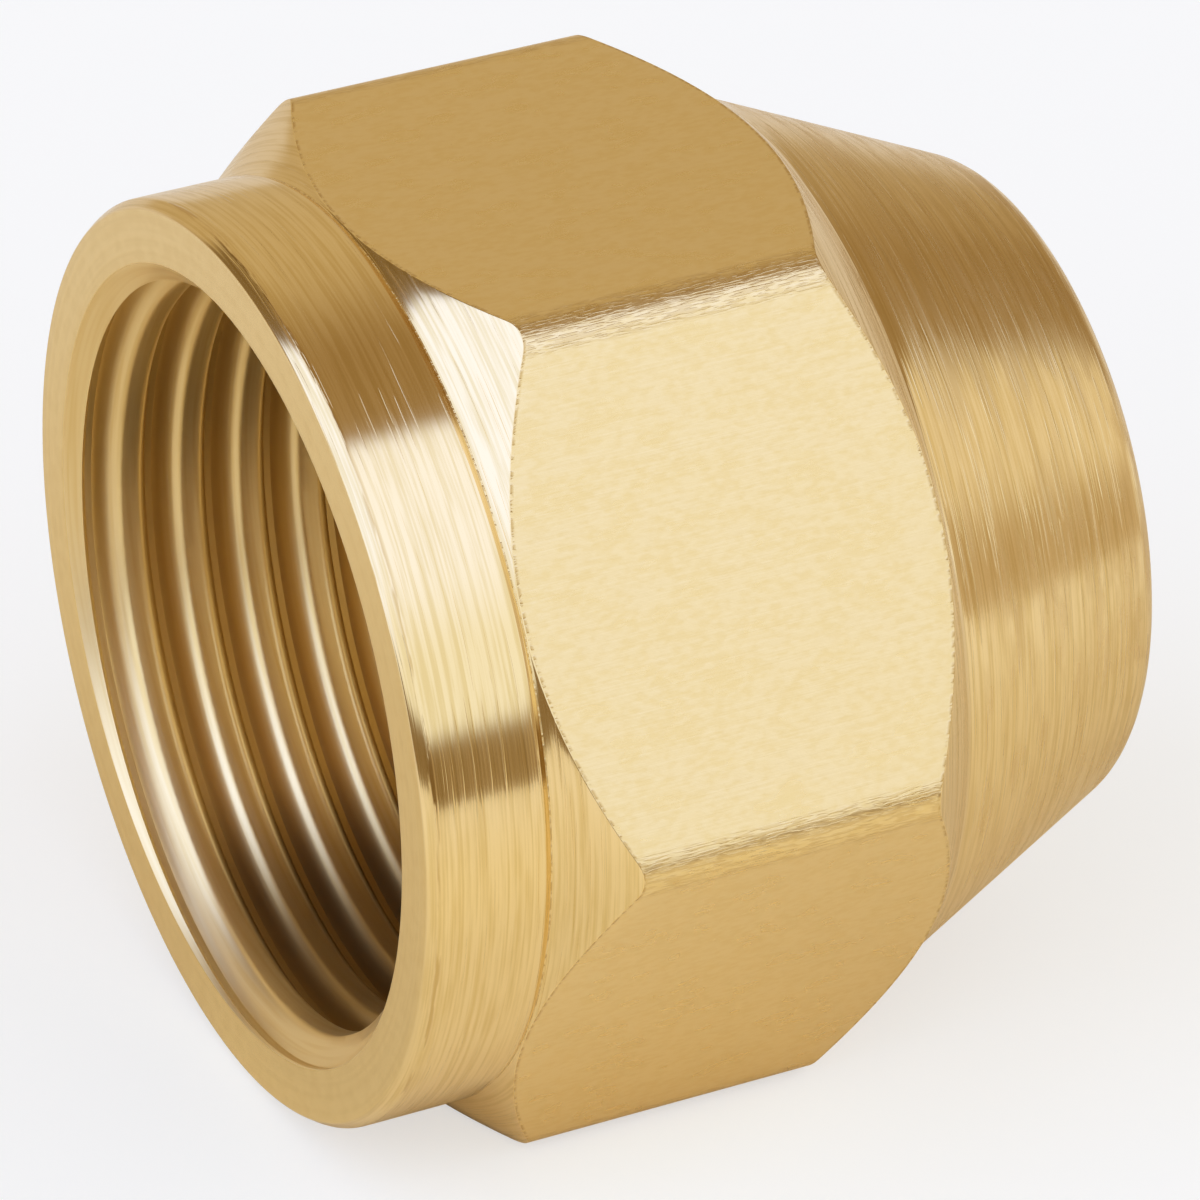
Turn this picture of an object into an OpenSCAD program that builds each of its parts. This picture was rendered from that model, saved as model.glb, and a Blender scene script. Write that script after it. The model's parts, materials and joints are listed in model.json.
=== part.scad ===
// Reducing flare nut, turned in one piece from hexagonal brass bar. A round collar
// opens on a deep socket with a right-hand thread, the hexagon takes the spanner, and a
// blunt cone narrows to the bore that the smaller tube passes through. It lies on one flat
// with its axis along X: the socket opens towards -X and the tube leaves towards +X.

/* [Hexagon] */
// Width across the flats
across_flats = 25.4; // [25:0.1:30]
// Radius along the six long corners of the bar
corner_r = 1.1; // [0.4:0.1:2]
// Length of the hexagon, from the collar to the foot of the nose
hex_len = 12.5; // [9:0.1:20]
// Diameter at which the chamfers at both ends of the hexagon start
chamfer_root_d = 25.0; // [24:0.1:25]
// Slope of those chamfers, measured from the axis
chamfer_deg = 46; // [30:1:60]

/* [Collar] */
// Wall of the round collar, outside the thread's major diameter
collar_wall = 1.7; // [1:0.05:3]
// Length of the collar
collar_len = 3.4; // [2:0.1:8]
// Size of the small chamfer on the rim of the collar
collar_edge = 0.2; // [0.1:0.05:0.6]

/* [Nose] */
// Length of the nose, from the hexagon to the end face
nose_len = 7.7; // [6.5:0.1:9]
// Slope of the nose cone, measured from the axis
nose_deg = 24.4; // [12:0.2:26]
// Radius that blends the cone into the end face
nose_edge_r = 1.2; // [0.4:0.1:1.4]

/* [Thread socket] */
// Major diameter of the internal thread, which is also the width of the countersunk mouth
thread_d = 22.225; // [20:0.005:22.5]
// Minor diameter of the thread, which is the drilled size of the socket
thread_minor_d = 20.68; // [20.2:0.02:20.8]
// Pitch of the thread, 14 threads to the inch
thread_pitch = 1.814; // [1:0.001:2]
// Depth of the middle of the first crest behind the open face, on the +Y side
thread_start = 1.64; // [0.8:0.02:2.6]
// Depth from the open face to the end of the full thread, before the tap runs out
thread_len = 10.4; // [8:0.1:12]
// Depth from the open face to the seat
socket_len = 14.2; // [13:0.1:15]
// Slope of the countersink at the mouth, measured from the axis
mouth_deg = 45; // [30:1:60]

/* [Tube bore] */
// Outer diameter of the tube that passes through the nose
tube_d = 12.7; // [9.5:0.05:13.5]
// Clearance on the tube's diameter
tube_clearance = 0.2; // [0.1:0.05:0.5]
// Slope of the seat that presses on the tube's flare, measured from the axis
seat_deg = 45; // [42:1:50]
// Chamfer where the tube bore opens on the end face
tube_edge = 0.4; // [0.1:0.05:0.8]

/* [Hidden] */
$fn = 96;

// Stations along the axis, counted from the open face
hex_end = collar_len + hex_len;
total_len = hex_end + nose_len;

// Radii of the outside
flat_r = across_flats / 2;
collar_r = thread_d / 2 + collar_wall;
root_r = chamfer_root_d / 2;
corner_axis_r = (flat_r - corner_r) / cos(30);
peak_r = corner_axis_r + corner_r + 0.5;
axis_height = max(flat_r, collar_r);

// Radii of the inside. The 60 degree thread has a root an eighth of the pitch wide.
thread_major_r = thread_d / 2;
thread_minor_r = thread_minor_d / 2;
thread_depth = thread_major_r - thread_minor_r;
root_width = thread_pitch / 8;
mouth_len = thread_depth / tan(mouth_deg);
tube_r = (tube_d + tube_clearance) / 2;
seat_end = socket_len + (thread_minor_r - tube_r) / tan(seat_deg);

// Lengths over which each chamfer climbs from its root to the flats and to the peak
flat_run = (flat_r - root_r) / tan(chamfer_deg);
peak_run = (peak_r - root_r) / tan(chamfer_deg);

// Section of the thread's groove, as [station, radius] from its middle. Its sides run on
// past the crests into the open bore.
groove_depth = thread_depth + root_width;
groove_inner_half = root_width / 2 + groove_depth * tan(30);
groove_section = [
    [-groove_inner_half, thread_major_r - groove_depth],
    [-root_width / 2, thread_major_r],
    [root_width / 2, thread_major_r],
    [groove_inner_half, thread_major_r - groove_depth]
];

// Turns of the groove are counted from the +Y side, where its middle lies at groove_zero.
// It starts before the open face, and over one turn past the full thread it runs out.
groove_zero = thread_start - thread_pitch / 2;
first_turn = -ceil(groove_zero / thread_pitch + 0.5);
full_turns = (thread_len - groove_zero) / thread_pitch;
runout_turns = 1;
runout_rise = thread_depth + root_width / 2;

// Steps in each rounded corner and in the nose edge, and in one turn of the thread
arc_steps = 6;
turn_steps = 36;
overrun = 1;

function arc(centre, r, from_deg, to_deg) = [
    for (i = [0 : arc_steps])
        let (a = from_deg + (to_deg - from_deg) * i / arc_steps)
            centre + r * [cos(a), sin(a)]
];

// Blend between the cone and the end face, in [radius, station]. Its centre lies
// one radius below the end face and one radius inside the cone.
nose_edge_centre = [
    root_r - (nose_len - nose_edge_r) * tan(nose_deg) - nose_edge_r / cos(nose_deg),
    total_len - nose_edge_r
];

// Outline of the turned blank, as [radius, station] from the open face to the nose
outer_profile = concat(
    [
        [0, 0],
        [collar_r - collar_edge, 0],
        [collar_r, collar_edge],
        [collar_r, collar_len],
        [root_r, collar_len],
        [peak_r, collar_len + peak_run],
        [peak_r, hex_end - peak_run],
        [root_r, hex_end]
    ],
    arc(nose_edge_centre, nose_edge_r, nose_deg, 90),
    [[0, total_len]]
);

// Outline of the socket, the flare's seat and the tube bore, in the same terms
inner_profile = [
    [0, -overrun],
    [thread_major_r + overrun * tan(mouth_deg), -overrun],
    [thread_minor_r, mouth_len],
    [thread_minor_r, socket_len],
    [tube_r, seat_end],
    [tube_r, total_len - tube_edge],
    [tube_r + tube_edge + overrun, total_len + overrun],
    [0, total_len + overrun]
];

// Section of the groove after so many turns of a right-hand helix
function groove_ring(turn) = [
    for (p = groove_section)
        let (
            a = 90 + 360 * turn,
            r = p[1] - runout_rise * max(turn - full_turns, 0) / runout_turns
        )
            [r * cos(a), r * sin(a), groove_zero + thread_pitch * turn + p[0]]
];

// The groove as one solid coil, to be cut from the wall of the socket
module thread_groove() {
    sides = len(groove_section);
    steps = ceil((full_turns + runout_turns - first_turn) * turn_steps);
    rings = [
        for (i = [0 : steps])
            each groove_ring(full_turns + runout_turns - (steps - i) / turn_steps)
    ];
    walls = [
        for (i = [0 : steps - 1], j = [0 : sides - 1])
            let (a = i * sides + j, b = i * sides + (j + 1) % sides)
                each [[a, b, a + sides], [b, b + sides, a + sides]]
    ];
    first_end = [for (j = [sides - 1 : -1 : 0]) j];
    last_end = [for (j = [0 : sides - 1]) steps * sides + j];
    polyhedron(rings, concat(walls, [first_end, last_end]));
}

module turned(profile) {
    rotate_extrude()
        polygon(profile);
}

// Section of the bar: a hexagon with two flats square to the first axis and round corners
module hex_section() {
    polygon([
        for (k = [0 : 5])
            let (corner = 30 + 60 * k)
                for (point = arc(
                    corner_axis_r * [cos(corner), sin(corner)],
                    corner_r, corner - 30, corner + 30
                ))
                    point
    ]);
}

// Everything outside the bar, over the stretch where the blank stands proud of its flats
module flat_cutter() {
    from = collar_len + flat_run / 2;
    to = hex_end - flat_run / 2;
    difference() {
        translate([0, 0, from])
            cylinder(r = peak_r + overrun, h = to - from);
        translate([0, 0, from - overrun])
            linear_extrude(to - from + 2 * overrun)
                hex_section();
    }
}

module flare_nut() {
    color("#d9b364")
        translate([-total_len / 2, 0, axis_height])
            rotate([0, 90, 0])
                difference() {
                    turned(outer_profile);
                    flat_cutter();
                    turned(inner_profile);
                    thread_groove();
                }
}

flare_nut();
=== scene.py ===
import json
import math

import bmesh
import bpy
import numpy as np
from mathutils import Matrix, Vector


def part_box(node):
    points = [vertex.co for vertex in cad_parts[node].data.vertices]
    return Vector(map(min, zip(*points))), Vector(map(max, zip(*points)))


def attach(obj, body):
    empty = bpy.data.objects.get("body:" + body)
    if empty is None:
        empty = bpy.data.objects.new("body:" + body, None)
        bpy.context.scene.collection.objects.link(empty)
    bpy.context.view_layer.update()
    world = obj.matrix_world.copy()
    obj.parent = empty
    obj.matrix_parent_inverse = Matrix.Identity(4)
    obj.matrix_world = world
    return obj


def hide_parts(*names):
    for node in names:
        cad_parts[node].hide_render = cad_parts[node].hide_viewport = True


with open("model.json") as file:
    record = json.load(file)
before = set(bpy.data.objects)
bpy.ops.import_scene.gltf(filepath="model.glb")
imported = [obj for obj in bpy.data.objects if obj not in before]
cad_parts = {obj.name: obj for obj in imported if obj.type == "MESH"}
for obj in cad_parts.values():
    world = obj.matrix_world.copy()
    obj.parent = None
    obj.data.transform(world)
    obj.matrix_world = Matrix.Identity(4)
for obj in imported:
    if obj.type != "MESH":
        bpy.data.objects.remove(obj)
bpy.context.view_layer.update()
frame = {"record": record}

# Lengths are in metres, as in the frame. The nut's own sizes are read from it.
MM = 0.001
MOUNTS = {m["name"]: m for m in frame["record"]["mounts"]}
BOX_LOW, BOX_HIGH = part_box("flare_nut")

OPEN_FACE_X = BOX_LOW[0]
NUT_LENGTH = BOX_HIGH[0] - BOX_LOW[0]
AXIS_Z = MOUNTS["tube_bore"]["pos_m"][2]
FLAT_R = (MOUNTS["upper_flat"]["pos_m"][2] - MOUNTS["lower_flat"]["pos_m"][2]) / 2
THREAD_MINOR_R = MOUNTS["flare_thread"]["dims"]["r_mm"] * MM
TUBE_R = MOUNTS["tube_bore"]["dims"]["r_mm"] * MM

# Outside of the nut, as stations from the open face and radii from the axis. The crease behind
# the collar is softened over four times its named size.
COLLAR_R = BOX_HIGH[2] - AXIS_Z
COLLAR_LENGTH = 3.4 * MM
CREASE = 0.05 * MM
RIM_CHAMFER_LENGTH = 0.32 * MM
RIM_CHAMFER_DEPTH = 0.22 * MM
HEX_END = 15.9 * MM
CHAMFER_ROOT_R = 12.5 * MM
CHAMFER_SLOPE = math.tan(math.radians(46))
CORNER_R = 1.1 * MM
NOSE_SLOPE = math.tan(math.radians(24.4))
NOSE_EDGE_R = 1.2 * MM

# Corners of the bar: the axis of each round, half the angle that it covers, and the distance
# from the nut's axis at which the flats end
CORNER_AXIS_R = (FLAT_R - CORNER_R) / math.cos(math.pi / 6)
HALF_CORNER = math.atan2(CORNER_R / 2, CORNER_AXIS_R + CORNER_R * math.cos(math.pi / 6))
FLAT_EDGE_R = FLAT_R / math.cos(math.pi / 6 - HALF_CORNER)

# Inside of the nut. The thread's root is an eighth of the pitch wide.
THREAD_PITCH = 25.4 * MM / 14
THREAD_MAJOR_R = 22.225 / 2 * MM
THREAD_ROOT = THREAD_PITCH / 8
THREAD_START = 1.64 * MM
THREAD_LENGTH = 10.4 * MM
CREST_ROUND = 0.20 * MM
SOCKET_LENGTH = 14.2 * MM
TUBE_EDGE = 0.4 * MM

# Columns round the nut: so many across each corner's round and so many across each flat
CORNER_COLUMNS = 12
FLAT_COLUMNS = 48

# Steps along an eased edge, points round the end of the nose and steps in one turn of the thread
EDGE_STEPS = 3
NOSE_EDGE_POINTS = 9
TURN_STEPS = 150

# An eased edge takes at most the length beside it divided by this
EDGE_DIVISOR = 2.5


def mesh_object(name, points, faces):
    """Makes a mesh object from an array of points and an array of quads."""
    mesh = bpy.data.meshes.new(name)
    mesh.vertices.add(len(points))
    mesh.vertices.foreach_set("co", points.astype(np.float32).ravel())
    mesh.loops.add(faces.size)
    mesh.loops.foreach_set("vertex_index", faces.astype(np.int32).ravel())
    mesh.polygons.add(len(faces))
    mesh.polygons.foreach_set("loop_start", np.arange(0, faces.size, faces.shape[1], dtype=np.int32))
    mesh.update(calc_edges=True)
    mesh.validate()
    made = bpy.data.objects.new(name, mesh)
    bpy.context.scene.collection.objects.link(made)
    return made


def ring_quads(rows, columns, close_rows=True):
    """Quads of a grid whose columns close into a ring and whose rows may close too."""
    i = np.arange(rows if close_rows else rows - 1)[:, None]
    j = np.arange(columns)[None, :]
    next_i = (i + 1) % rows
    next_j = (j + 1) % columns
    quads = [i * columns + j, next_i * columns + j, next_i * columns + next_j, i * columns + next_j]
    return np.stack(np.broadcast_arrays(*quads), -1).reshape(-1, 4)


def round_the_axis(station, radius, angle):
    """Points at a station, a radius and an angle from +Y towards +Z round the nut's axis."""
    points = np.stack([
        OPEN_FACE_X + station,
        radius * np.cos(angle),
        AXIS_Z + radius * np.sin(angle),
    ], -1)
    return points.reshape(-1, 3)


def column_angles():
    """Angles of the columns: even steps over each corner's round, then even steps over the flat."""
    corner = np.linspace(-HALF_CORNER, HALF_CORNER, CORNER_COLUMNS, endpoint=False)
    flat = np.linspace(HALF_CORNER, math.pi / 3 - HALF_CORNER, FLAT_COLUMNS, endpoint=False)
    sixth = np.concatenate([corner, flat])
    return (sixth + np.arange(6)[:, None] * math.pi / 3).ravel()


def hexagon_radius(angle):
    """Distance from the axis to the bar's surface.

    On a flat it is the flat's own distance over the cosine of the angle from its middle. At a
    corner it is the far crossing with the circle of the corner's round.
    """
    off = np.abs((angle + math.pi / 6) % (math.pi / 3) - math.pi / 6)
    flat = FLAT_R / np.cos(math.pi / 6 - off)
    aside = CORNER_AXIS_R * np.sin(off)
    corner = CORNER_AXIS_R * np.cos(off) + np.sqrt(np.maximum(CORNER_R**2 - aside**2, 0))
    return np.where(off < HALF_CORNER, corner, flat)


def softened(corners, cuts, rows):
    """Outline through the corners, each corner cut back by its own length and bridged by a parabola.

    corners has one [station, radius] pair per corner and column; rows is the number of points
    added evenly on the straight after each corner.
    """
    corners = [np.stack(c, -1) for c in corners]
    count = len(corners)
    outline = []
    for k in range(count):
        before, here, after = corners[k - 1], corners[k], corners[(k + 1) % count]
        come, go = before - here, after - here
        come_length = np.linalg.norm(come, axis=-1, keepdims=True)
        go_length = np.linalg.norm(go, axis=-1, keepdims=True)
        start = here + come / come_length * np.minimum(cuts[k], come_length / EDGE_DIVISOR)
        end = here + go / go_length * np.minimum(cuts[k], go_length / EDGE_DIVISOR)
        if cuts[k] > 0:
            for s in np.linspace(0, 1, EDGE_STEPS + 1):
                outline.append((1 - s) ** 2 * start + 2 * s * (1 - s) * here + s * s * end)
        else:
            outline.append(here)
            end = here
        next_cut = cuts[(k + 1) % count]
        next_start = after - go / go_length * np.minimum(next_cut, go_length / EDGE_DIVISOR)
        for s in np.arange(1, rows[k] + 1) / (rows[k] + 1):
            outline.append((1 - s) * end + s * next_start)
    return np.stack(outline)


def blank_surface():
    """The turned blank with its hexagon and plain bores: one closed outline for each column.

    The outside outline meets the hexagon where the chamfer cones cross its own radius, so the
    scalloped edges of the flats are true curves.
    """
    angle = column_angles()
    bar = hexagon_radius(angle)
    one = np.ones_like(angle)
    left = COLLAR_LENGTH + (bar - CHAMFER_ROOT_R) / CHAMFER_SLOPE
    right = HEX_END - (bar - CHAMFER_ROOT_R) / CHAMFER_SLOPE
    nose_length = NUT_LENGTH - HEX_END
    nose_cos = 1 / math.hypot(1, NOSE_SLOPE)
    edge_centre_r = CHAMFER_ROOT_R - (nose_length - NOSE_EDGE_R) * NOSE_SLOPE - NOSE_EDGE_R / nose_cos
    edge_centre_x = NUT_LENGTH - NOSE_EDGE_R
    mouth_depth = THREAD_MAJOR_R - THREAD_MINOR_R
    seat_end = SOCKET_LENGTH + THREAD_MINOR_R - TUBE_R
    fine = 0.03 * MM
    # Each entry: station, radius, cut of the corner, rows on the straight that follows
    plan = [
        (0, THREAD_MAJOR_R, fine, 3),
        (0, COLLAR_R - RIM_CHAMFER_DEPTH, 2 * fine, 1),
        (RIM_CHAMFER_LENGTH, COLLAR_R, 3 * fine, 8),
        (COLLAR_LENGTH - CREASE, COLLAR_R, 2 * fine, 0),
        (COLLAR_LENGTH + 3 * CREASE, CHAMFER_ROOT_R + 3 * CREASE * CHAMFER_SLOPE, 3 * fine, 2),
        (left, bar, fine, 12),
        (right, bar, fine, 2),
        (HEX_END, CHAMFER_ROOT_R, 5 * fine, 10),
    ]
    for turn in np.linspace(math.atan(NOSE_SLOPE), math.pi / 2, NOSE_EDGE_POINTS):
        plan.append((
            edge_centre_x + NOSE_EDGE_R * math.sin(turn),
            edge_centre_r + NOSE_EDGE_R * math.cos(turn), 0, 0,
        ))
    plan += [
        (NUT_LENGTH, TUBE_R + TUBE_EDGE, fine, 0),
        (NUT_LENGTH - TUBE_EDGE, TUBE_R, fine, 4),
        (seat_end, TUBE_R, fine, 4),
        (SOCKET_LENGTH, THREAD_MINOR_R, fine, 10),
        (mouth_depth, THREAD_MINOR_R, 0, 3),
    ]
    outline = softened(
        [(x * one, r * one) for x, r, _, _ in plan],
        [cut for _, _, cut, _ in plan],
        [rows for _, _, _, rows in plan],
    )
    station, radius = outline[..., 0], outline[..., 1]
    rows, columns = station.shape
    return round_the_axis(station, radius, angle), ring_quads(rows, columns)[:, ::-1]


def groove_surface():
    """The thread's groove as a solid coil: a 60 degree section carried along a right-hand helix.

    The section is rounded where it meets the crests and at its root. After so many turns it
    lies that many pitches further along the axis. Past the full thread the coil rises out of
    the wall.
    """
    slope = math.tan(math.pi / 6)
    shoulder = 0.30 * MM
    into_bore = 0.25 * MM
    hair = 0.004 * MM
    crest_half = THREAD_ROOT / 2 + (THREAD_MAJOR_R - THREAD_MINOR_R) * slope
    flank_top = (crest_half - CREST_ROUND * 0.5, THREAD_MINOR_R + CREST_ROUND * math.cos(math.pi / 6))
    flank_foot = (THREAD_ROOT / 2 + shoulder * slope, THREAD_MAJOR_R - shoulder)
    half = [
        (crest_half + CREST_ROUND, THREAD_MINOR_R - into_bore),
        (crest_half + CREST_ROUND, THREAD_MINOR_R - hair),
    ]
    for s in (0.3, 0.6, 1):
        half.append((
            (1 - s) ** 2 * (crest_half + CREST_ROUND)
            + 2 * s * (1 - s) * crest_half + s * s * flank_top[0],
            THREAD_MINOR_R + s * s * (flank_top[1] - THREAD_MINOR_R),
        ))
    for s in (0.5, 1):
        half.append((
            flank_top[0] + s * (flank_foot[0] - flank_top[0]),
            flank_top[1] + s * (flank_foot[1] - flank_top[1]),
        ))
    for s in (0.35, 0.75):
        half.append((
            flank_foot[0] - s * (flank_foot[0] - THREAD_ROOT * 0.15),
            THREAD_MAJOR_R - shoulder * (1 - s) ** 2,
        ))
    section = np.array([(-x, r) for x, r in half] + list(reversed(half)))
    # The groove's middle lies half a pitch before the middle of the first crest
    middle = THREAD_START - THREAD_PITCH / 2
    full_turns = (THREAD_LENGTH - middle) / THREAD_PITCH
    first_turn = -2.0
    steps = int((full_turns + 1 - first_turn) * TURN_STEPS)
    turn = np.linspace(first_turn, full_turns + 1, steps)[:, None]
    rise = (THREAD_MAJOR_R - THREAD_MINOR_R + THREAD_ROOT / 2) * np.maximum(turn - full_turns, 0)
    station = middle + THREAD_PITCH * turn + section[None, :, 0]
    radius = section[None, :, 1] - rise
    points = round_the_axis(station, radius, 2 * math.pi * turn)
    rows, columns = station.shape
    return points, ring_quads(rows, columns, close_rows=False)[:, ::-1]


def turned_nut():
    """The nut: the blank with the thread's coil taken out of its socket."""
    points, quads = blank_surface()
    nut = mesh_object("nut_body", points, quads)
    coil = mesh_object("thread_coil", *groove_surface())
    made = bmesh.new()
    made.from_mesh(coil.data)
    bmesh.ops.holes_fill(made, edges=[e for e in made.edges if e.is_boundary])
    bmesh.ops.recalc_face_normals(made, faces=made.faces)
    made.to_mesh(coil.data)
    made.free()
    cut = nut.modifiers.new("thread", "BOOLEAN")
    cut.operation = "DIFFERENCE"
    cut.solver = "MANIFOLD"
    cut.object = coil
    bpy.context.view_layer.update()
    graph = bpy.context.evaluated_depsgraph_get()
    finished = bpy.data.meshes.new_from_object(nut.evaluated_get(graph))
    nut.modifiers.clear()
    nut.data = finished
    bpy.data.objects.remove(coil)
    return nut


def part_of_nut(mesh):
    """Index of the finish of each face: 0 turned, 1 drawn bar, 2 inside, 3 faced off square."""
    centre = np.empty(len(mesh.polygons) * 3, np.float32)
    normal = np.empty_like(centre)
    mesh.polygons.foreach_get("center", centre)
    mesh.polygons.foreach_get("normal", normal)
    centre = centre.reshape(-1, 3) - (OPEN_FACE_X, 0, AXIS_Z)
    normal = normal.reshape(-1, 3)
    station = centre[:, 0]
    radius = np.hypot(centre[:, 1], centre[:, 2])
    along = np.abs(normal[:, 0])
    outward = (centre[:, 1] * normal[:, 1] + centre[:, 2] * normal[:, 2]) / radius
    on_bar = (station > COLLAR_LENGTH) & (radius > CHAMFER_ROOT_R + 0.1 * MM) & (along < 0.3)
    inside = (radius < THREAD_MAJOR_R - 0.02 * MM) & (outward < 0.2)
    inside &= station < NUT_LENGTH - 0.05 * MM
    inside |= outward < -0.05
    at_an_end = (station < 0.04 * MM) | (station > NUT_LENGTH - 0.04 * MM)
    faced = at_an_end & (along > 0.9)
    return np.where(faced, 3, np.where(on_bar, 1, np.where(inside, 2, 0)))


nut = turned_nut()
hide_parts("flare_nut")
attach(nut, "root")
nut.data.shade_smooth()
nut.data.set_sharp_from_angle(angle=math.radians(28))


class Number:
    """A socket that carries a number, a vector or a colour. Python's arithmetic adds Math nodes."""

    def __init__(self, tree, socket):
        self.tree = tree
        self.socket = socket

    def node(self, kind, settings, values, output=0):
        """Adds any other node: its settings first, then the values or links of its sockets."""
        made = self.tree.nodes.new(kind)
        for name, value in settings.items():
            setattr(made, name, value)
        for key, value in values.items():
            if isinstance(value, Number):
                self.tree.links.new(value.socket, made.inputs[key])
            else:
                made.inputs[key].default_value = value
        return Number(self.tree, made.outputs[output])

    def math(self, operation, *values):
        return self.node("ShaderNodeMath", {"operation": operation}, dict(enumerate(values)))

    def vector(self, operation, *values, output=0):
        return self.node(
            "ShaderNodeVectorMath", {"operation": operation}, dict(enumerate((self, *values))), output
        )

    def dot(self, direction):
        return self.vector("DOT_PRODUCT", direction, output=1)

    def __add__(self, other):
        return self.math("ADD", self, other)

    __radd__ = __add__

    def __mul__(self, other):
        return self.math("MULTIPLY", self, other)

    __rmul__ = __mul__

    def __sub__(self, other):
        return self.math("SUBTRACT", self, other)

    def __rsub__(self, other):
        return self.math("SUBTRACT", other, self)

    def step(self, start, end):
        """0 before start, 1 past end and smooth between."""
        return self.node(
            "ShaderNodeMapRange", {"interpolation_type": "SMOOTHSTEP"},
            {"Value": self, "From Min": start, "From Max": end},
        )

    def mix(self, first, second):
        """Colour between two colours, with this number as the factor."""
        return self.node(
            "ShaderNodeMix", {"data_type": "RGBA"}, {0: self, 6: first, 7: second}, output=2
        )


def source(tree, kind, output):
    """An output of a node that has no inputs of its own."""
    return Number(tree, tree.nodes.new(kind).outputs[output])


TARNISH_COLOUR = (0.66, 0.46, 0.19, 1)


class Brass:
    """A brass material whose patterns read the place on the nut, in millimetres.

    place runs along the axis from the open face, radius is the distance from the axis, and
    outward is the unit vector from the axis.
    """

    def __init__(self, name):
        self.made = bpy.data.materials.new(name)
        self.made.use_nodes = True
        self.tree = self.made.node_tree
        self.shader = self.tree.nodes["Principled BSDF"]
        self.shader.inputs["Metallic"].default_value = 1
        place = source(self.tree, "ShaderNodeTexCoord", "Object")
        place = place.vector("SUBTRACT", (OPEN_FACE_X, 0, AXIS_Z))
        self.place = place.vector("MULTIPLY", (1 / MM, 1 / MM, 1 / MM))
        self.station = self.place.dot((1, 0, 0))
        across = self.place.vector("MULTIPLY", (0, 1, 1))
        self.radius = across.vector("LENGTH", output=1)
        self.outward = across.vector("NORMALIZE")

    def turning(self, pitch, length, detail=1):
        """Marks that run round the axis, so wide across and so long along them, in millimetres.

        The length holds at the radius of the collar and the nose, about 12 mm.
        """
        turns = 12 / length
        along = self.place.vector("MULTIPLY", (1 / pitch, 0, 0))
        where = self.outward.vector("MULTIPLY_ADD", (turns, turns, turns), along)
        return where.node(
            "ShaderNodeTexNoise", {"noise_dimensions": "4D"},
            {"Vector": where, "W": self.radius * (1 / pitch), "Scale": 1, "Detail": detail},
        )

    def drawing(self, width, length, detail=1):
        """Marks that run along the axis."""
        where = self.place.vector("MULTIPLY", (1 / length, 1 / width, 1 / width))
        return where.node("ShaderNodeTexNoise", {}, {"Vector": where, "Scale": 1, "Detail": detail})

    def colour(self, value):
        self.tree.links.new(value.socket, self.shader.inputs["Base Color"])

    def roughness(self, value):
        """Sets one roughness for the whole finish, or links one that varies."""
        socket = self.shader.inputs["Roughness"]
        if isinstance(value, Number):
            self.tree.links.new(value.socket, socket)
        else:
            socket.default_value = value

    def bump(self, height, depth):
        """Tilts the surface by a height between 0 and 1 that stands for so many millimetres."""
        tilt = height.node(
            "ShaderNodeBump", {}, {"Strength": 1, "Distance": depth * MM, "Height": height}
        )
        self.tree.links.new(tilt.socket, self.shader.inputs["Normal"])


def turned_brass():
    """Bright turning marks round the collar, the chamfers and the nose, with sparse scratches."""
    brass = Brass("turned_brass")
    fine = brass.turning(0.075, 9)
    scratch = brass.turning(0.09, 3.5).step(0.585, 0.66)
    dull = brass.turning(0.16, 2.0, 3)
    # A ragged burr where the collar meets the chamfer on its rim
    from_rim = brass.station - RIM_CHAMFER_LENGTH / MM
    burr = (1 - from_rim.math("ABSOLUTE", from_rim).step(0.02, 0.11)) * dull.step(0.46, 0.56)
    # The nose is duller, in short patches, and most of all towards its end
    patch = 1 - brass.turning(0.45, 2.2, 3).step(0.36, 0.60)
    nose = brass.station.step(HEX_END / MM + 0.2, HEX_END / MM + 0.8)
    tip = brass.station.step(NUT_LENGTH / MM - 1.6, NUT_LENGTH / MM - 0.5)
    skin = (fine * 0.55 + dull * 0.45).step(0.37, 0.58)
    skin = skin.mix((0.80, 0.61, 0.285, 1), (0.91, 0.73, 0.41, 1))
    brass.colour((burr * 0.8 + (nose + tip) * patch * 0.28).mix(skin, TARNISH_COLOUR))
    brass.roughness(0.16 - 0.07 * dull + 0.05 * scratch + nose * (0.06 + 0.10 * patch))
    brass.bump(fine * 0.7 + scratch * 0.45 + burr * 0.9, 0.010)
    return brass.made


def drawn_brass():
    """The bar's own skin on the six flats: a mottled grain, faint drawing lines and ragged edges."""
    brass = Brass("drawn_brass")
    grain = brass.drawing(0.17, 0.34, 3)
    cloud = brass.drawing(0.7, 1.3, 2)
    lines = brass.drawing(0.05, 5)
    # The scalloped edges lie where the cone of the chamfer crosses the bar
    climb = (brass.radius - CHAMFER_ROOT_R / MM) * (1 / CHAMFER_SLOPE)
    to_left = brass.station - climb - COLLAR_LENGTH / MM
    to_right = HEX_END / MM - climb - brass.station
    nearest = to_left.math("MINIMUM", to_left, to_right)
    burr = (1 - nearest.step(0.03, 0.13)) * grain.step(0.42, 0.58)
    # The long edges, where the flats meet the rounded corners, are frayed
    long_edge = brass.radius.step(FLAT_EDGE_R / MM - 0.09, FLAT_EDGE_R / MM + 0.01)
    fray = long_edge * brass.drawing(0.055, 0.5).step(0.42, 0.60)
    worn = burr.math("MAXIMUM", burr, fray * 0.45)
    skin = (grain * 0.6 + cloud * 0.4).step(0.36, 0.62)
    skin = skin.mix((0.855, 0.66, 0.32, 1), (0.89, 0.71, 0.385, 1))
    brass.colour(worn.mix(skin, TARNISH_COLOUR))
    brass.roughness(0.22 + 0.14 * cloud)
    brass.bump(grain * 0.6 + lines * 0.3 + worn * 1.2, 0.010)
    return brass.made


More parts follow.
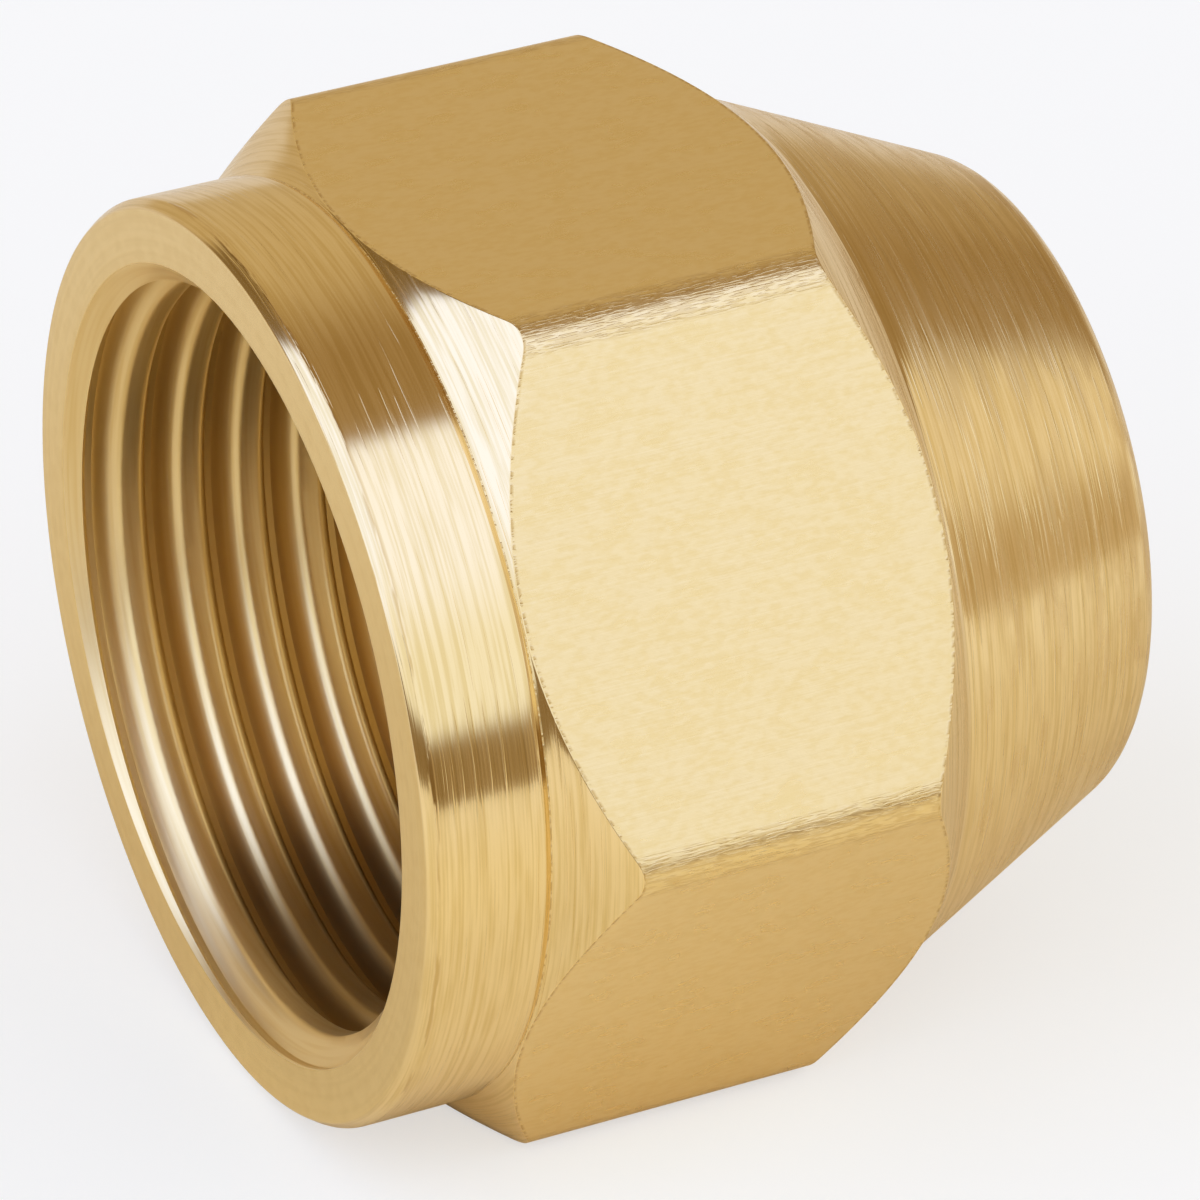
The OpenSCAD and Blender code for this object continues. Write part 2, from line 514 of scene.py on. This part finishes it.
def threaded_brass():
    """The socket's wall: duller, with soft marks along the thread, and painted shade in the thread's
    roots, deeper in the socket and at its bottom.
    """
    brass = Brass("threaded_brass")
    marks = brass.turning(0.15, 6)
    # Painted shade: the thread's roots are coloured darker, and the wall a little darker deeper into
    # the socket
    depth = brass.radius.step(THREAD_MINOR_R / MM + 0.05, THREAD_MAJOR_R / MM - 0.05)
    groove = depth * brass.station.step(0.7, 1.0)
    deep = brass.station.step(2.0, 10.0) * 0.2
    skin = marks.step(0.3, 0.6).mix((0.89, 0.69, 0.33, 1), (0.95, 0.77, 0.42, 1))
    skin = deep.mix(skin, (0.66, 0.46, 0.18, 1))
    skin = groove.mix(skin, (0.74, 0.53, 0.21, 1))
    # The bottom of the socket is coloured darker: a painted shade, because it is dark in the
    # photograph
    bottom = brass.place.dot((0, 0, -1)).step(8.2, 10.4) * brass.station.step(1.0, 2.5)
    brass.colour((bottom * 0.8).mix(skin, (0.28, 0.17, 0.05, 1)))
    brass.roughness(0.36)
    brass.bump(marks, 0.003)
    return brass.made


def faced_brass():
    """The open face and the end face: soft rings with a faint mottle."""
    brass = Brass("faced_brass")
    rings = brass.turning(0.16, 14)
    mottle = brass.drawing(0.5, 0.5, 3)
    skin = (rings * 0.5 + mottle * 0.5).step(0.35, 0.6)
    brass.colour(skin.mix((0.88, 0.685, 0.33, 1), (0.93, 0.745, 0.38, 1)))
    brass.roughness(0.24)
    brass.bump(rings, 0.007)
    return brass.made


nut.data.materials.clear()
for material in (turned_brass(), drawn_brass(), threaded_brass(), faced_brass()):
    nut.data.materials.append(material)
nut.data.polygons.foreach_set("material_index", part_of_nut(nut.data).astype(np.int32))

# Camera, fitted to the photograph: it looks along +X and +Y and down
CAMERA_PLACE = Vector((-91.92, -186.26, 135.36)) * MM
CAMERA_AZIMUTH = math.radians(26.107)
CAMERA_PITCH = math.radians(30.738)
CAMERA_LENS = 264.9


def photo_camera():
    """The camera at the photograph's place and viewing angle, level from side to side."""
    data = bpy.data.cameras.new("photo_camera")
    data.sensor_width = 36
    data.lens = CAMERA_LENS
    data.clip_start = 0.01
    data.clip_end = 10
    made = bpy.data.objects.new("photo_camera", data)
    bpy.context.scene.collection.objects.link(made)
    right = Vector((math.cos(CAMERA_AZIMUTH), -math.sin(CAMERA_AZIMUTH), 0))
    ahead = Vector((
        math.sin(CAMERA_AZIMUTH) * math.cos(CAMERA_PITCH),
        math.cos(CAMERA_AZIMUTH) * math.cos(CAMERA_PITCH),
        -math.sin(CAMERA_PITCH),
    ))
    up = right.cross(ahead)
    turn = Matrix((right, up, -ahead)).transposed()
    made.matrix_world = Matrix.Translation(CAMERA_PLACE) @ turn.to_4x4()
    bpy.context.scene.camera = made


photo_camera()


def compass(azimuth, elevation):
    """Unit vector from an azimuth, in degrees from +Y towards +X, and an elevation."""
    azimuth = math.radians(azimuth)
    elevation = math.radians(elevation)
    return (
        math.sin(azimuth) * math.cos(elevation),
        math.cos(azimuth) * math.cos(elevation),
        math.sin(elevation),
    )


def studio_world():
    """Two large white screens, in front and to the left, and a dim warm room behind the nut."""
    world = bpy.data.worlds.new("studio")
    world.use_nodes = True
    tree = world.node_tree
    sight = source(tree, "ShaderNodeTexCoord", "Generated")
    height = sight.dot((0, 0, 1))

    def towards(azimuth, elevation=0):
        return sight.dot(compass(azimuth, elevation))

    # The room: dark, lighter behind the nut, with one dark corner beside the screen
    room = towards(8, 25).step(0.60, 0.97).mix((0.37, 0.25, 0.12, 1), (0.61, 0.48, 0.29, 1))
    room = towards(313, 30).step(0.90, 0.95).mix(room, (0.24, 0.16, 0.07, 1))
    # Below the horizon the reflections see more of the pale floor
    room = height.step(-0.06, 0.04).mix((0.72, 0.63, 0.53, 1), room)
    # One screen stands in front, its top edge along X, and one to the left. Both are cooler
    # towards the top, and the front one is warmer at its right end.
    front = towards(171.5, -14.5).step(-0.045, 0.045)
    left = towards(213).step(-0.025, 0.025) * towards(270).step(0.0, 0.06)
    colour = height.step(0.36, 0.72).mix((1.02, 1.05, 1.10, 1), (1.11, 1.22, 1.68, 1))
    colour = towards(97, 8).step(0.90, 0.98).mix(colour, (0.86, 0.76, 0.60, 1))
    colour = towards(285, 35).step(0.6, 0.95).mix(colour, (1.14, 1.32, 2.05, 1))
    lit = front.math("MAXIMUM", front, left).mix(room, colour)
    # A dark gap between the screens and the floor
    gap_colour = towards(215).step(0.2, 0.7).mix((0.56, 0.42, 0.25, 1), (0.27, 0.18, 0.08, 1))
    gap = towards(180).step(-0.1, 0.25) * (1 - height.step(0.03, 0.13))
    lit = gap.mix(lit, gap_colour)
    seen = source(tree, "ShaderNodeLightPath", "Is Camera Ray")
    background = seen.mix(lit, (1, 1, 1, 1))
    tree.links.new(background.socket, tree.nodes["Background"].inputs["Color"])
    bpy.context.scene.world = world
    # The screens are so large that rays find them without a map of the world's light
    world.cycles.sampling_method = "NONE"


FLOOR_REACH = 85 * MM
FLOOR_CELLS = 8


def studio_floor():
    """A pale floor under the nut: an even square grid at height 0."""
    row = FLOOR_CELLS + 1
    line = np.linspace(-FLOOR_REACH, FLOOR_REACH, row)
    x, y = np.meshgrid(line, line)
    points = np.stack([x, y, 0 * x], -1).reshape(-1, 3)
    i = np.arange(FLOOR_CELLS)[:, None] * row + np.arange(FLOOR_CELLS)[None, :]
    quads = np.stack([i, i + 1, i + row + 1, i + row], -1).reshape(-1, 4)
    floor = mesh_object("studio_floor", points, quads)
    made = bpy.data.materials.new("pale_floor")
    made.use_nodes = True
    tree = made.node_tree
    seen = source(tree, "ShaderNodeLightPath", "Is Camera Ray")
    mirrored = source(tree, "ShaderNodeLightPath", "Is Glossy Ray")
    place = source(tree, "ShaderNodeTexCoord", "Object")
    away = place.vector("LENGTH", output=1)
    # In reflections the floor is warmer and darker near the nut: painted shade and painted warm light
    # bounced from the nut
    under = away.step(20 * MM, 70 * MM).mix((0.93, 0.79, 0.48, 1), (0.95, 0.85, 0.62, 1))
    colour = seen.mix(under, (0.45, 0.45, 0.39, 1))
    # In reflections the floor in front of the nut glows a little: a painted pool of light. For the
    # camera it glows white, so the floor looks white and keeps its shadow.
    before = place.dot((0, -1, 0)).step(4 * MM, 34 * MM)
    glow = (mirrored * before).mix((0, 0, 0, 1), (0.17, 0.17, 0.11, 1))
    glow = seen.mix(glow, (0.58, 0.58, 0.58, 1))
    shader = tree.nodes["Principled BSDF"]
    tree.links.new(colour.socket, shader.inputs["Base Color"])
    tree.links.new(glow.socket, shader.inputs["Emission Color"])
    shader.inputs["Emission Strength"].default_value = 1
    shader.inputs["Roughness"].default_value = 1
    shader.inputs["Specular IOR Level"].default_value = 0
    floor.data.materials.append(made)


studio_world()
studio_floor()
bpy.context.scene.view_settings.view_transform = "Standard"
